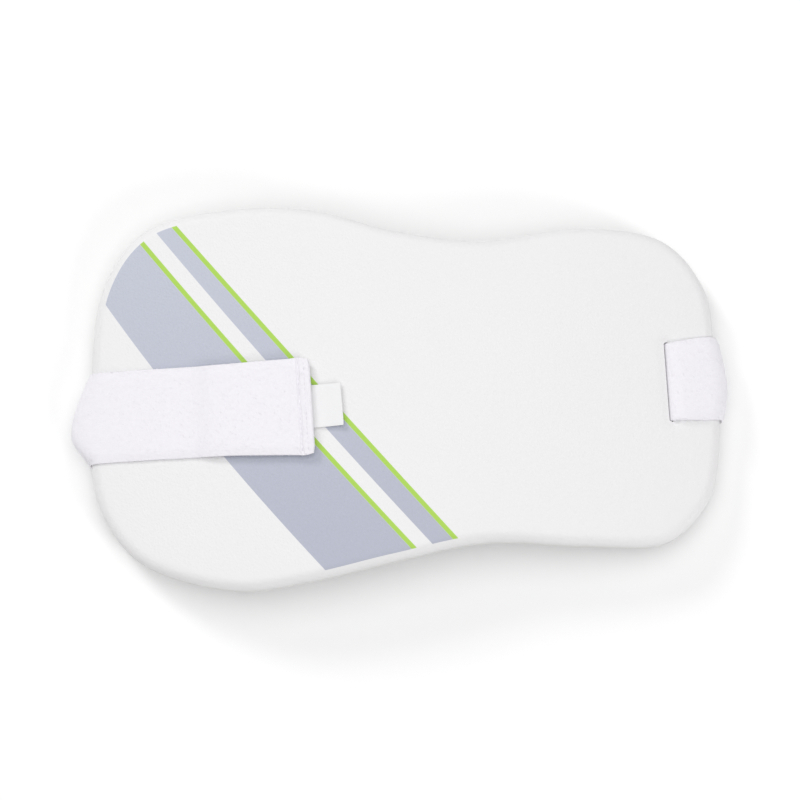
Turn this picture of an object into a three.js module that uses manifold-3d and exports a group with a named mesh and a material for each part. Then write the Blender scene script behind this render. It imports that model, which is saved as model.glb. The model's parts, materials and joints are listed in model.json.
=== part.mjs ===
// Cricket chest guard: a bowed foam pad under a printed face cover, worn on one wide elastic strap.
// Millimetres. The guard lies on its back with the printed face up (+Z). +X runs along the pad towards
// the slot that the strap is looped through, and +Y towards the pad's upper edge.
import * as THREE from "three";
import { mergeVertices } from "three/addons/utils/BufferGeometryUtils.js";
import Module from "manifold-3d";

const wasm = await Module();
wasm.setup();

// Driving dimensions

const GAP = 0.3; // clearance between pieces that lie on each other

const PAD = {
  thickness: 16,
  rise: 20, // how far the bow lifts the middle of the pad above its feet
  foot: 167, // distance from the middle to where each end of the back touches down
  middle: 1.8, // x of the bow's highest line
  faceRound: { run: 6, rise: 6 },
  backRound: { run: 4, rise: 3 },
};

const COVER_WALL = 1.2;

const STRAP = {
  width: 50,
  spread: 53, // its width at the free end, where the patch spreads it
  looped: 46, // its width round the right end
  gathered: 42, // its width through the slot
  thickness: 1.8,
  footTurn: 3.2,
  slotTurn: 2.2,
};
const HEM = { length: 6, thickness: 2.6, proud: 0.2, width: 52 };
const SLOT = { length: 45, width: 4.2 };
const PATCH = { length: 40, width: 44, thickness: 1.8, slope: 14, lead: 4 };
const LABEL = { width: 23, tucked: 5, shown: 16, thickness: 1, curl: 1.2, heading: 4.5 };

// The pad's outline: its two ends, and the upper and lower edge at each section between them.
const LEFT_END = { x: -165.7, y: -11.2 };
const RIGHT_END = { x: 172, y: -15 };
const SECTIONS = [
  { x: -160.8, top: 61, bottom: -56.6 },
  { x: -138, top: 92, bottom: -87.2 },
  { x: -87, top: 102.7, bottom: -103 },
  { x: -47, top: 101.1, bottom: -98.6 },
  { x: -3, top: 89.4, bottom: -88.3 },
  { x: 45, top: 84.1, bottom: -78.3 },
  { x: 97, top: 92.4, bottom: -79.4 },
  { x: 143, top: 86.4, bottom: -76.4 },
  { x: 164.8, top: 61.5, bottom: -54.5 },
  { x: 170, top: 31, bottom: -38 },
];

// Where the middle of the strap passes, in plan, and which way it heads there, in degrees from +X.
const FREE_END = { x: -46.7, y: -7, heading: 4 };
const LEFT_TURN = { x: LEFT_END.x - 0.1, y: -10.4, heading: 1.2 };
const RIGHT_TURN = { x: RIGHT_END.x - 0.5, y: 12, heading: 3.4 };
const SLOT_STOP = { x: 144.2, y: 9, heading: 3.4 };
const TAIL_END = { x: 117, y: 10.2, heading: 4 };

// How far the slack of each fold stands off the pad's end, where across the strap it is fullest (-1 to 1),
// and how steeply it falls off from there.
const LEFT_SLACK = { reach: 9.2, crest: -0.3, fall: 1.3 };
const RIGHT_SLACK = { reach: 3, crest: -0.15, fall: 1.3 };

// How finely the curved faces are cut
const STEPS = { perSpan: 5, round: 5, faceRows: 5, lanes: 10, turn: 6, footTurn: 4, slotTurn: 4 };
const STRIDE = { face: 6, back: 24, least: 3 };

// Shared shapes

const PAD_LIFT = STRAP.thickness + GAP;
const BOW_RADIUS = (PAD.foot ** 2 + PAD.rise ** 2) / (2 * PAD.rise);

// Height of the bow above the pad's feet.
function bow(x) {
  const chord = Math.sqrt(BOW_RADIUS ** 2 - PAD.foot ** 2);
  return Math.sqrt(BOW_RADIUS ** 2 - (x - PAD.middle) ** 2) - chord;
}

// Height of the printed face away from its rounded rim.
function faceHeight(x) {
  return PAD_LIFT + PAD.thickness + bow(x);
}

function mix(a, b, share) {
  return a + (b - a) * share;
}

// A point of a quarter ellipse, from the side wall (share 0) to the face (share 1), moved out by offset.
function roundRow(round, share, offset) {
  const angle = (share * Math.PI) / 2;
  const normal = new THREE.Vector2(Math.cos(angle) / round.run, Math.sin(angle) / round.rise).normalize();
  return {
    inset: round.run * (1 - Math.cos(angle)) - offset * normal.x,
    depth: round.rise * (1 - Math.sin(angle)) - offset * normal.y,
  };
}

// Rows over the face's rounded rim, each at an inset from the outline and a height over the pad's back.
function faceRimRows(offset) {
  return Array.from({ length: STEPS.round + 1 }, (_, i) => {
    const row = roundRow(PAD.faceRound, i / STEPS.round, offset);
    return { inset: row.inset, height: PAD.thickness - row.depth };
  });
}

function backRimRows() {
  return Array.from({ length: STEPS.round + 1 }, (_, i) => {
    const row = roundRow(PAD.backRound, i / STEPS.round, 0);
    return { inset: row.inset, height: row.depth };
  });
}

// Plan of the pad: a closed smooth curve through the ends and sections, with its inward normals.
// Point i on the upper edge faces point count - i on the lower one.
function outlinePoints() {
  const upper = SECTIONS.map((s) => new THREE.Vector3(s.x, s.top, 0));
  const lower = SECTIONS.map((s) => new THREE.Vector3(s.x, s.bottom, 0)).reverse();
  const left = new THREE.Vector3(LEFT_END.x, LEFT_END.y, 0);
  const right = new THREE.Vector3(RIGHT_END.x, RIGHT_END.y, 0);
  const controls = [left, ...upper, right, ...lower];
  const curve = new THREE.CatmullRomCurve3(controls, true, "centripetal");
  const count = controls.length * STEPS.perSpan;
  return Array.from({ length: count }, (_, i) => {
    const tangent = curve.getTangent(i / count);
    return { at: curve.getPoint(i / count), inward: new THREE.Vector3(tangent.y, -tangent.x, 0) };
  });
}

const OUTLINE = outlinePoints();

// Solids

// A closed surface from vertices and triangles, turned the right way out.
function closedGeometry(vertices, triangles) {
  const geometry = new THREE.BufferGeometry().setFromPoints(vertices);
  const volume = triangles.reduce((sum, [a, b, c]) => {
    return sum + vertices[a].dot(new THREE.Vector3().crossVectors(vertices[b], vertices[c]));
  }, 0);
  const outward = volume < 0 ? triangles.map(([a, b, c]) => [a, c, b]) : triangles;
  geometry.setIndex(outward.flat());
  return geometry;
}

// A bowed plate with the pad's outline. Rows lead from the rim of its upper face to that of its lower
// face, and each row is a ring at its own inset and height.
function bowedPlate(rows) {
  const vertices = [];
  const triangles = [];
  const count = OUTLINE.length;
  const half = count / 2;
  const place = (x, y, height) => vertices.push(new THREE.Vector3(x, y, PAD_LIFT + height + bow(x))) - 1;

  const rings = rows.map((row) =>
    OUTLINE.map(({ at, inward }) =>
      place(at.x + inward.x * row.inset, at.y + inward.y * row.inset, row.height),
    ),
  );
  rings.slice(1).forEach((ring, r) => {
    for (let i = 0; i < count; i += 1) {
      const next = (i + 1) % count;
      triangles.push([rings[r][i], ring[i], ring[next]], [rings[r][i], ring[next], rings[r][next]]);
    }
  });

  // A face is filled in columns, each from a point of the upper edge to the one that it faces.
  const fillFace = (ring, height, flip) => {
    const columns = Array.from({ length: half + 1 }, (_, k) => {
      const top = ring[k];
      const bottom = ring[(count - k) % count];
      if (top === bottom) return Array(STEPS.faceRows + 1).fill(top);
      return Array.from({ length: STEPS.faceRows + 1 }, (_unused, j) => {
        if (j === 0) return top;
        if (j === STEPS.faceRows) return bottom;
        const share = j / STEPS.faceRows;
        const x = mix(vertices[top].x, vertices[bottom].x, share);
        return place(x, mix(vertices[top].y, vertices[bottom].y, share), height);
      });
    });
    const add = (a, b, c) => {
      if (a !== b && b !== c && c !== a) triangles.push(flip ? [a, c, b] : [a, b, c]);
    };
    for (let k = 0; k < half; k += 1) {
      for (let j = 0; j < STEPS.faceRows; j += 1) {
        add(columns[k][j], columns[k][j + 1], columns[k + 1][j + 1]);
        add(columns[k][j], columns[k + 1][j + 1], columns[k + 1][j]);
      }
    }
  };
  fillFace(rings[0], rows[0].height, true);
  fillFace(rings[rings.length - 1], rows[rows.length - 1].height, false);
  return closedGeometry(vertices, triangles);
}

// A flat band swept through stations. Each station gives the middle of the band, its heading in plan,
// width and thickness, whether it lies on the bowed pad, and the slack that pushes its lanes along the
// heading.
function sweptBand(stations) {
  const vertices = [];
  const triangles = [];
  const centres = stations.map((s) => new THREE.Vector3(s.x, s.y, s.z));
  const loops = stations.map((s, i) => {
    const before = centres[Math.max(i - 1, 0)];
    const after = centres[Math.min(i + 1, centres.length - 1)];
    const heading = THREE.MathUtils.degToRad(s.heading);
    const ahead = new THREE.Vector3(Math.cos(heading), Math.sin(heading), 0);
    const across = new THREE.Vector3(-Math.sin(heading), Math.cos(heading), 0);
    const normal = new THREE.Vector3().crossVectors(after.clone().sub(before), across).normalize();
    const side = (sign) =>
      Array.from({ length: STEPS.lanes + 1 }, (_, j) => {
        const lane = (2 * j) / STEPS.lanes - 1;
        const point = centres[i].clone().addScaledVector(across, (lane * s.width) / 2);
        if (s.slack) point.addScaledVector(ahead, s.slack(lane));
        if (s.onPad) point.z += bow(point.x) - bow(s.x);
        return vertices.push(point.addScaledVector(normal, (sign * s.thickness) / 2)) - 1;
      });
    return [...side(1), ...side(-1).reverse()];
  });
  const around = loops[0].length;
  loops.slice(1).forEach((loop, i) => {
    for (let j = 0; j < around; j += 1) {
      const next = (j + 1) % around;
      triangles.push([loops[i][j], loops[i][next], loop[next]], [loops[i][j], loop[next], loop[j]]);
    }
  });
  const closeEnd = (loop, flip) => {
    for (let j = 0; j < STEPS.lanes; j += 1) {
      const [a, b] = [loop[j], loop[j + 1]];
      const [c, d] = [loop[around - 2 - j], loop[around - 1 - j]];
      triangles.push(...(flip ? [[a, c, b], [a, d, c]] : [[a, b, c], [a, c, d]]));
    }
  };
  closeEnd(loops[0], true);
  closeEnd(loops[loops.length - 1], false);
  return closedGeometry(vertices, triangles);
}

function toSolid(geometry) {
  const bare = geometry.clone();
  bare.deleteAttribute("normal");
  bare.deleteAttribute("uv");
  const merged = mergeVertices(bare, 1e-4);
  const mesh = new wasm.Mesh({
    numProp: 3,
    vertProperties: merged.attributes.position.array,
    triVerts: new Uint32Array(merged.index.array),
  });
  return new wasm.Manifold(mesh);
}

function toGeometry(solid) {
  const mesh = solid.getMesh();
  return new THREE.BufferGeometry()
    .setAttribute("position", new THREE.BufferAttribute(mesh.vertProperties, 3))
    .setIndex(new THREE.BufferAttribute(mesh.triVerts, 1));
}

// Pad

// A round-ended slot through the pad, square to the strap that passes through it.
function slotCutter() {
  const radius = SLOT.width / 2;
  const straight = SLOT.length / 2 - radius;
  const shape = new THREE.Shape();
  shape.absarc(0, straight, radius, 0, Math.PI);
  shape.absarc(0, -straight, radius, Math.PI, 2 * Math.PI);
  const depth = 2 * faceHeight(PAD.middle);
  return new THREE.ExtrudeGeometry(shape, { depth, bevelEnabled: false, curveSegments: 6 })
    .rotateZ(THREE.MathUtils.degToRad(SLOT_STOP.heading))
    .translate(SLOT_STOP.x, SLOT_STOP.y, -depth / 2);
}

function cutSlot(geometry) {
  return toGeometry(toSolid(geometry).subtract(toSolid(slotCutter())));
}

// The printed sheet over the face, which ends partway down the side wall.
function faceCover() {
  const outside = faceRimRows(0).reverse();
  const inside = faceRimRows(-COVER_WALL);
  return cutSlot(bowedPlate([...outside, ...inside]));
}

// The foam under the cover, with a ledge that the cover's edge sits on.
function foamCore() {
  const underCover = COVER_WALL + GAP;
  const ledge = PAD.thickness - PAD.faceRound.rise - GAP;
  const rows = [
    ...faceRimRows(-underCover).reverse(),
    { inset: underCover, height: ledge },
    { inset: 0, height: ledge },
    ...backRimRows(),
  ];
  return cutSlot(bowedPlate(rows));
}

// Strap and what is sewn to it

const ON_FACE = GAP + STRAP.thickness / 2;
const ON_FLOOR = STRAP.thickness / 2;
const ON_BACK_RUN = STRAP.thickness + ON_FACE;

// Points of a leg that runs from one stop to another, with a height for each x.
function leg(from, to, stride, height) {
  const count = Math.ceil(Math.abs(to.x - from.x) / stride);
  return Array.from({ length: count + 1 }, (_, i) => {
    const x = mix(from.x, to.x, i / count);
    return { x, z: height(x) };
  });
}

const onPad = (station) => ({ ...station, onPad: true });

// Gives each point of a leg its place across the pad, from the stops at the leg's two ends.
function alongStrap(points, from, to) {
  return points.map((point) => {
    const share = from.x === to.x ? 0 : THREE.MathUtils.clamp((point.x - from.x) / (to.x - from.x), 0, 1);
    return { ...point, y: mix(from.y, to.y, share), heading: mix(from.heading, to.heading, share) };
  });
}

// Slack across a fold: most at its crest lane, and falling off smoothly to nothing at the strap's edges.
function slackAcross(slack, lane) {
  const side = lane > slack.crest ? 1 - slack.crest : 1 + slack.crest;
  const share = Math.abs(lane - slack.crest) / side;
  return slack.reach * Math.max(0, Math.cos((share * Math.PI) / 2)) ** slack.fall;
}

// A fold of the strap round one end of the pad, from the face, where it comes from another stop, down to
// the floor. Outward is -1 at the left end and 1 at the right.
function fold(end, from, outward, width, slack) {
  const overRim = Array.from({ length: STEPS.turn + 1 }, (_, i) => {
    const row = roundRow(PAD.faceRound, 1 - i / STEPS.turn, ON_FACE);
    const x = end.x - outward * row.inset;
    const fullness = Math.sin((i / STEPS.turn) * (Math.PI / 2));
    return { x, z: faceHeight(x) - row.depth, onPad: true, fullness };
  });
  const toFloor = Array.from({ length: STEPS.footTurn + 1 }, (_, i) => {
    const angle = ((i / STEPS.footTurn) * Math.PI) / 2;
    const inwards = STRAP.footTurn * (1 - Math.cos(angle)) - ON_FACE;
    return {
      x: end.x - outward * inwards,
      z: ON_FLOOR + STRAP.footTurn * (1 - Math.sin(angle)),
      fullness: Math.cos(angle),
    };
  });
  return alongStrap([...overRim, ...toFloor], end, from).map(({ fullness, ...point }) => ({
    ...point,
    width,
    slack: (lane) => outward * fullness * slackAcross(slack, lane),
  }));
}

// The strap's way down through the slot and round on to its own back run.
function throughSlot() {
  const turn = STRAP.slotTurn;
  const topHeight = faceHeight(SLOT_STOP.x) + ON_FACE;
  const arc = (centre, fromAngle) =>
    Array.from({ length: STEPS.slotTurn + 1 }, (_, i) => {
      const angle = fromAngle + ((i / STEPS.slotTurn) * Math.PI) / 2;
      return { x: centre.x + turn * Math.cos(angle), z: centre.z + turn * Math.sin(angle) };
    });
  const overLip = arc({ x: SLOT_STOP.x + turn, z: topHeight - turn }, Math.PI / 2);
  const underBack = arc({ x: SLOT_STOP.x - turn, z: ON_BACK_RUN + turn }, -Math.PI / 2).reverse();
  return [...overLip, ...underBack];
}

// Height of the strap's middle over the face near its free end, where the patch lifts it.
function liftedByPatch(x) {
  const lifted = FREE_END.x - HEM.length - PATCH.length - PATCH.lead;
  const share = THREE.MathUtils.smoothstep(x, lifted - PATCH.slope, lifted);
  return faceHeight(x) + ON_FACE + share * (PATCH.thickness + GAP);
}

function elasticStrap() {
  const plain = (station) => ({ width: STRAP.width, thickness: STRAP.thickness, ...station });
  const gathered = (station) => ({ ...plain(station), width: STRAP.gathered });
  const changing = (from, to, first, last) => (station) => {
    const share = THREE.MathUtils.clamp((station.x - from.x) / (to.x - from.x), 0, 1);
    return { ...plain(station), width: mix(first, last, share) };
  };
  const hemSize = { width: HEM.width, thickness: HEM.thickness };
  const hemEnd = alongStrap([{ x: FREE_END.x - HEM.length, z: 0 }], LEFT_TURN, FREE_END)[0];
  const patchStart = { x: hemEnd.x - PATCH.length };
  const towardsHem = changing(patchStart, hemEnd, STRAP.width, STRAP.spread);
  const alongBack = changing(LEFT_TURN, RIGHT_TURN, STRAP.width, STRAP.looped);
  const towardsSlot = changing(RIGHT_TURN, SLOT_STOP, STRAP.looped, STRAP.gathered);

  // The hem is the strap's own end, folded under and sewn, so it hangs below the single layer.
  const hemTop = STRAP.thickness / 2 + HEM.proud;
  const hem = leg(FREE_END, hemEnd, HEM.length, (x) => liftedByPatch(x) + hemTop - HEM.thickness / 2);
  const front = leg(hemEnd, LEFT_TURN, STRIDE.face, liftedByPatch);
  const beforeFold = front.filter(({ x }) => x > LEFT_END.x + PAD.faceRound.run + STRIDE.least);
  const back = leg(LEFT_TURN, RIGHT_TURN, STRIDE.back, () => ON_FLOOR).slice(1, -1);
  const loop = leg(RIGHT_TURN, SLOT_STOP, STRIDE.face / 2, (x) => faceHeight(x) + ON_FACE);
  const loopStart = RIGHT_END.x - PAD.faceRound.run - STRIDE.least;
  const loopEnd = SLOT_STOP.x + STRAP.slotTurn + STRIDE.least;
  const overLoop = loop.filter(({ x }) => x < loopStart && x > loopEnd);
  const tail = leg(SLOT_STOP, TAIL_END, STRIDE.back / 3, () => ON_BACK_RUN);

  return sweptBand([
    ...alongStrap(hem, FREE_END, LEFT_TURN).map(onPad).map((s) => ({ ...s, ...hemSize })),
    ...alongStrap(beforeFold, FREE_END, LEFT_TURN).map(onPad).map(towardsHem),
    ...fold(LEFT_TURN, FREE_END, -1, STRAP.width, LEFT_SLACK).map(plain),
    ...alongStrap(back, LEFT_TURN, RIGHT_TURN).map(alongBack),
    ...fold(RIGHT_TURN, SLOT_STOP, 1, STRAP.looped, RIGHT_SLACK).reverse().map(plain),
    ...alongStrap(overLoop, RIGHT_TURN, SLOT_STOP).map(onPad).map(towardsSlot),
    ...alongStrap(throughSlot(), SLOT_STOP, SLOT_STOP).map(gathered),
    ...alongStrap(tail.slice(1), SLOT_STOP, TAIL_END).map(gathered),
  ]);
}

// The hook patch sewn under the strap's free end.
function hookPatch() {
  const inner = { x: FREE_END.x - HEM.length - PATCH.length };
  const outer = { x: FREE_END.x - HEM.length - GAP };
  const points = leg(inner, outer, STRIDE.face, (x) => faceHeight(x) + GAP + PATCH.thickness / 2);
  const size = { width: PATCH.width, thickness: PATCH.thickness };
  return sweptBand(alongStrap(points, LEFT_TURN, FREE_END).map(onPad).map((s) => ({ ...s, ...size })));
}

// The label caught in the hem, which lifts a little towards its loose end.
function careLabel() {
  const inner = { x: FREE_END.x - LABEL.tucked };
  const outer = { x: FREE_END.x + LABEL.shown };
  const points = leg(inner, outer, LABEL.shown / 4, (x) => {
    const loose = Math.max(0, x - FREE_END.x) / LABEL.shown;
    return faceHeight(x) + GAP + LABEL.thickness / 2 + LABEL.curl * loose ** 2;
  });
  const size = { y: FREE_END.y, heading: LABEL.heading, width: LABEL.width, thickness: LABEL.thickness };
  return sweptBand(points.map(onPad).map((s) => ({ ...s, ...size })));
}

// Assembly

const FINISHES = {
  foam: { color: 0xecebea, roughness: 0.75 },
  printedFace: { color: 0xf1f0f1, roughness: 0.45 },
  elastic: { color: 0xf4f2f7, roughness: 0.9 },
  hook: { color: 0xe6e6e8, roughness: 0.8 },
  satin: { color: 0xf7f7f8, roughness: 0.5 },
};

function piece(name, geometry, finish) {
  const material = new THREE.MeshStandardMaterial({ ...FINISHES[finish], metalness: 0 });
  const mesh = new THREE.Mesh(geometry, material);
  mesh.name = name;
  return mesh;
}

const pieces = new THREE.Group();
pieces.add(
  piece("foam_core", foamCore(), "foam"),
  piece("face_cover", faceCover(), "printedFace"),
  piece("elastic_strap", elasticStrap(), "elastic"),
  piece("hook_patch", hookPatch(), "hook"),
  piece("care_label", careLabel(), "satin"),
);

// The origin is under the middle of the whole guard, on the surface that it lies on.
const box = new THREE.Box3().setFromObject(pieces, true);
const middle = box.getCenter(new THREE.Vector3());
pieces.position.set(-middle.x, -middle.y, -box.min.z);

const chestGuard = new THREE.Group();
chestGuard.add(pieces);

export default chestGuard;
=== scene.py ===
import json
import math
from collections import namedtuple

import bmesh
import bpy
import numpy as np
from bpy.props import FloatProperty, FloatVectorProperty, IntProperty, PointerProperty
from bpy.types import Operator, Panel, PropertyGroup
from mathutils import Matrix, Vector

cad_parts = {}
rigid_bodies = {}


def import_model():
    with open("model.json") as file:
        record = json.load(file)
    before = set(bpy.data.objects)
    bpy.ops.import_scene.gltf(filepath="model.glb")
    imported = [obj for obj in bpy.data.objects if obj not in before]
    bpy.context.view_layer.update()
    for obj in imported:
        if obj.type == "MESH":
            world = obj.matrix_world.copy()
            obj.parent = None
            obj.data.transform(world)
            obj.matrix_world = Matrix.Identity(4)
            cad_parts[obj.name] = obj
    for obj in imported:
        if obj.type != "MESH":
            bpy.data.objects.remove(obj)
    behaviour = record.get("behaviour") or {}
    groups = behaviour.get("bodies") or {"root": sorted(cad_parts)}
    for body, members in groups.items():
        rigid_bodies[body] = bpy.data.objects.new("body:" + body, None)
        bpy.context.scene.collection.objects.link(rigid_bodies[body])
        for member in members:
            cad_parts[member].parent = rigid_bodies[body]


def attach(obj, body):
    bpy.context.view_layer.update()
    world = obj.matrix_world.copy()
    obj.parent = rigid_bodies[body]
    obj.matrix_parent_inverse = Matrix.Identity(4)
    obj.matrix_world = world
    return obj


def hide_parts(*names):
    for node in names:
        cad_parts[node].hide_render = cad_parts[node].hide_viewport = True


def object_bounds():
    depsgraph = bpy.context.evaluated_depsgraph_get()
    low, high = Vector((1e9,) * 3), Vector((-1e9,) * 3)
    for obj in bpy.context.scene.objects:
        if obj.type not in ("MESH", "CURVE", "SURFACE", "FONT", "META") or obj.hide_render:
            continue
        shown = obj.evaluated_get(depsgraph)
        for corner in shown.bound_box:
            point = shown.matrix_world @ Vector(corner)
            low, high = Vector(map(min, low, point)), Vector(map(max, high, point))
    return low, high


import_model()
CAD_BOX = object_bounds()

bl_info = {
    "name": "Cricket Chest Guard",
    "version": (1, 0, 0),
    "blender": (4, 5, 0),
    "location": "View3D > Sidebar > Chest Guard",
    "description": "Dresses the packed chest guard with its pad, strap, hook patch, label and stitching",
    "category": "Object",
}

MM = 0.001
SEED = 7

# Plan of the guard, in millimetres in the frame's own axes

Section = namedtuple("Section", "x top bottom")
Stop = namedtuple("Stop", "x y heading")
Edge = namedtuple("Edge", "at slant bend")
Fold = namedtuple("Fold", "stop start outward width slack crest")

LEFT_END = (-165.7, -11.2)
RIGHT_END = (172.0, -15.0)
SECTIONS = [
    Section(x=-160.8, top=61.0, bottom=-56.6),
    Section(x=-138.0, top=92.0, bottom=-87.2),
    Section(x=-87.0, top=102.7, bottom=-103.0),
    Section(x=-47.0, top=101.1, bottom=-98.6),
    Section(x=-3.0, top=89.4, bottom=-88.3),
    Section(x=45.0, top=84.1, bottom=-78.3),
    Section(x=97.0, top=92.4, bottom=-79.4),
    Section(x=143.0, top=86.4, bottom=-76.4),
    Section(x=164.8, top=61.5, bottom=-54.5),
    Section(x=170.0, top=31.0, bottom=-38.0),
]

# Where the middle of the strap passes, and which way it heads there, in degrees from +X
FREE_END = Stop(x=-46.7, y=-7.0, heading=4.0)
LEFT_TURN = Stop(x=-165.8, y=-10.4, heading=1.2)
RIGHT_TURN = Stop(x=171.5, y=12.0, heading=3.4)
SLOT = Stop(x=144.2, y=9.0, heading=3.4)
TAIL_END = Stop(x=117.0, y=10.2, heading=4.0)

# Borders of the printed stripes: x in millimetres where y is 0, lean along y, and bend per millimetre
GREY_BAND_EDGE = Edge(at=-119.8, slant=-0.792, bend=0.00078)
FIRST_LIME = Edge(at=-67.0, slant=-0.879, bend=0.00034)
GREY_LINE_EDGE = Edge(at=-55.1, slant=-0.877, bend=0.00034)
SECOND_LIME = Edge(at=-40.3, slant=-0.889, bend=0.00017)

# Where the lights stand, in metres
SOFTBOX_PLACE = (0.0, 0.0, 2.2)
KEY_PLACE = (-1.85, 2.05, 1.6)
FILL_PLACE = (1.95, -1.6, 1.5)


def linear(red, green, blue):
    """Linear colour from the usual 0 to 255 values."""
    values = [value / 255 for value in (red, green, blue)]
    return tuple(v / 12.92 if v <= 0.04045 else ((v + 0.055) / 1.055) ** 2.4 for v in values)


def length(note, millimetres):
    """A length setting, given in millimetres and held in metres."""
    metres = millimetres * MM
    return FloatProperty(description=note, default=metres, unit="LENGTH", precision=5)


def share(note, default):
    """A plain number setting."""
    return FloatProperty(description=note, default=default, min=0.0)


def paint(note, colour):
    """A colour setting."""
    return FloatVectorProperty(description=note, default=colour, subtype="COLOR", min=0.0, max=1.0)


def bearing(note, degrees):
    """An angle setting, given in degrees and held in radians."""
    return FloatProperty(description=note, default=math.radians(degrees), unit="ROTATION")


# Settings


class PadSettings(PropertyGroup):
    thickness: length("Foam and cover together", 16)
    lift: length("Height of the pad's feet over the surface it lies on", 2.1)
    bow_rise: length("How far the bow lifts the middle above the feet", 20)
    foot: length("From the bow's highest line to each foot", 167)
    bow_middle: length("Place of the bow's highest line along X", 1.8)
    rim_run: length("How far the rounded rim reaches in from the outline", 6)
    rim_rise: length("Height of the rounded rim", 5.6)
    shoulder_run: length("How far the soft fall towards the rim reaches in", 18)
    shoulder_drop: length("Depth of the soft fall towards the rim", 0.4)
    back_run: length("Reach of the round along the back edge", 4)
    back_rise: length("Height of the round along the back edge", 3)
    cover_wall: length("Thickness of the printed cover", 1.2)
    seat_gap: length("Clearance between the cover and the foam", 0.3)
    slot_length: length("Length of the strap slot", 43.2)
    slot_width: length("Width of the strap slot", 3)
    lip_depth: length("How far the cover is pressed in at the slot's left edge", 0.6)
    sunk_depth: length("How far the strap presses the slot's right edge in", 1.3)
    lip_reach: length("How far from the slot the cover is pressed in", 3)
    cover_white: paint("Unprinted colour of the cover", linear(229, 228, 229))
    foam_white: paint("Colour of the foam", linear(224, 223, 222))


class PrintSettings(PropertyGroup):
    # One grey ink in a lit and a shaded copy: painted light makes the stripes lighter towards the pad's
    # upper edge, and painted shade makes them darker towards its lower edge
    grey_painted_lit_upper: paint("Grey of the stripes at the pad's upper edge", linear(186, 190, 203))
    grey_painted_shaded_lower: paint("Grey of the stripes at the pad's lower edge", linear(174, 177, 191))
    lime: paint("Colour of the lime lines", linear(166, 205, 85))
    lime_width: length("Width of each lime line", 2.5)
    margin: length("How far from the outline the print stops", 4.1)
    slip: length("How much more margin the print has at the top than halfway up", 0.7)
    blur: length("Softness of the print's edges", 0.15)


class StrapSettings(PropertyGroup):
    width: length("Width of the elastic", 50)
    spread: length("Width at the free end, where the patch spreads the elastic", 53)
    looped: length("Width where the elastic turns round the right end", 46)
    gathered: length("Width where the elastic passes through the slot", 42.4)
    thickness: length("Thickness of the elastic", 1.8)
    edge_taper: share("Share of its thickness that the elastic loses at its edges", 0.45)
    rest_gap: length("Clearance under the elastic where it lies on the pad", 0.3)
    hem_length: length("How far the end is folded under", 6.6)
    hem_layer: length("Thickness of each layer pressed flat in the hem", 1.25)
    hem_top: length("Height of the hem's upper side over the pad's face", 4.4)
    corner: length("How far the corners of the free end are drawn in", 1.2)
    left_slack: length("How far the fold stands off the pad's left end", 9.2)
    right_slack: length("How far the fold stands off the pad's right end", 3)
    slack_fall: share("How steeply the slack of a fold falls off to its edges", 1.3)
    foot_turn: length("Radius of the turn on to the surface that the guard lies on", 3.2)
    sunk_turn: length("Radius of the turn into the slot", 2.6)
    slot_turn: length("Radius of the turn out of the slot", 2.2)
    slot_shift: length("How far left of the slot's middle the elastic runs", 0.5)
    step: length("Distance between cross-sections", 1)
    fine_step: length("Distance between cross-sections in the hem", 0.3)
    wave: length("Height of the soft waves on the elastic", 0.12)
    sway: length("How far the elastic's edges wander to either side", 0.072)
    pucker: length("Depth of the groove along the row of stitches that closes the hem", 0.9)
    white: paint("Colour of the elastic", linear(235, 233, 238))
    nap_density: share("Loops of brushed yarn on each square metre of the edges", 900000)
    nap_seed: IntProperty(description="Seed of the scattered loops", default=SEED)
    nap_height: length("Height of a loop of brushed yarn", 0.55)
    yarn: length("Radius of the brushed yarn", 0.045)


class PatchSettings(PropertyGroup):
    length: length("Length of the hook patch", 40)
    width: length("Width of the hook patch", 44)
    height: length("Height of tape and hooks together", 1.8)
    tape: length("Thickness of the tape that carries the hooks", 0.7)
    slope: length("How long the elastic takes to climb on to the patch", 14)
    lead: length("How far before the patch the climb ends", 4)
    pitch: length("Distance between hooks", 1.6)
    wire: length("Radius of a hook", 0.11)
    white: paint("Colour of the hook tape", linear(222, 222, 226))


class LabelSettings(PropertyGroup):
    width: length("Width of the label", 23)
    heading: bearing("Turn of the label in plan", 4.5)
    shown: length("How far the label stands out of the hem", 16.4)
    tucked: length("How far the label reaches under the hem", 5)
    tape: length("Thickness of one layer of the folded tape", 0.26)
    turn: length("Radius of the fold at the label's end", 0.35)
    curl: length("How far the label's folded end lifts", 1.1)
    tip: length("How far the folded end sinks at its upper side and rises at its lower", 0.4)
    step: length("Distance between cross-sections", 0.4)
    white: paint("Colour of the satin", linear(230, 230, 231))


class StitchSettings(PropertyGroup):
    pitch: length("Distance from stitch to stitch", 2.6)
    bite: length("Length of one stitch", 2.0)
    first_row: length("From the free end to the row of stitches that closes the hem", 6.0)
    second_row: length("From the free end to the row of stitches near its edge", 2.8)
    side_margin: length("From the ends of a row to the edges of the elastic", 2.5)
    thread: length("Radius of the thread", 0.17)
    white: paint("Colour of the thread", linear(224, 222, 228))


class StageSettings(PropertyGroup):
    elevation: bearing("Angle of the camera over the floor", 80)
    distance: length("From the camera to the guard", 1300)
    view_width: length("Width of the picture at the guard", 430.1)
    aim_side: length("Place along X of the point that the camera looks at", 0.1)
    aim_up: length("Place along Y of the point that the camera looks at", 0.5)
    aim_height: length("Height of the point that the camera looks at", 15)
    floor_size: length("Side of the floor", 9000)
    floor_white: paint("Colour of the floor", (0.93, 0.93, 0.93))
    softbox_power: share("Power of the wide light overhead, in watts", 32)
    softbox_size: length("Width of the light overhead", 3000)
    key_power: share("Power of the light from the upper left, in watts", 36)
    fill_power: share("Power of the light from the lower right, in watts", 22)
    lamp_size: length("Width of the key and fill lights", 1000)
    sky_strength: share("Strength of the even light from all round", 0.37)


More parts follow.
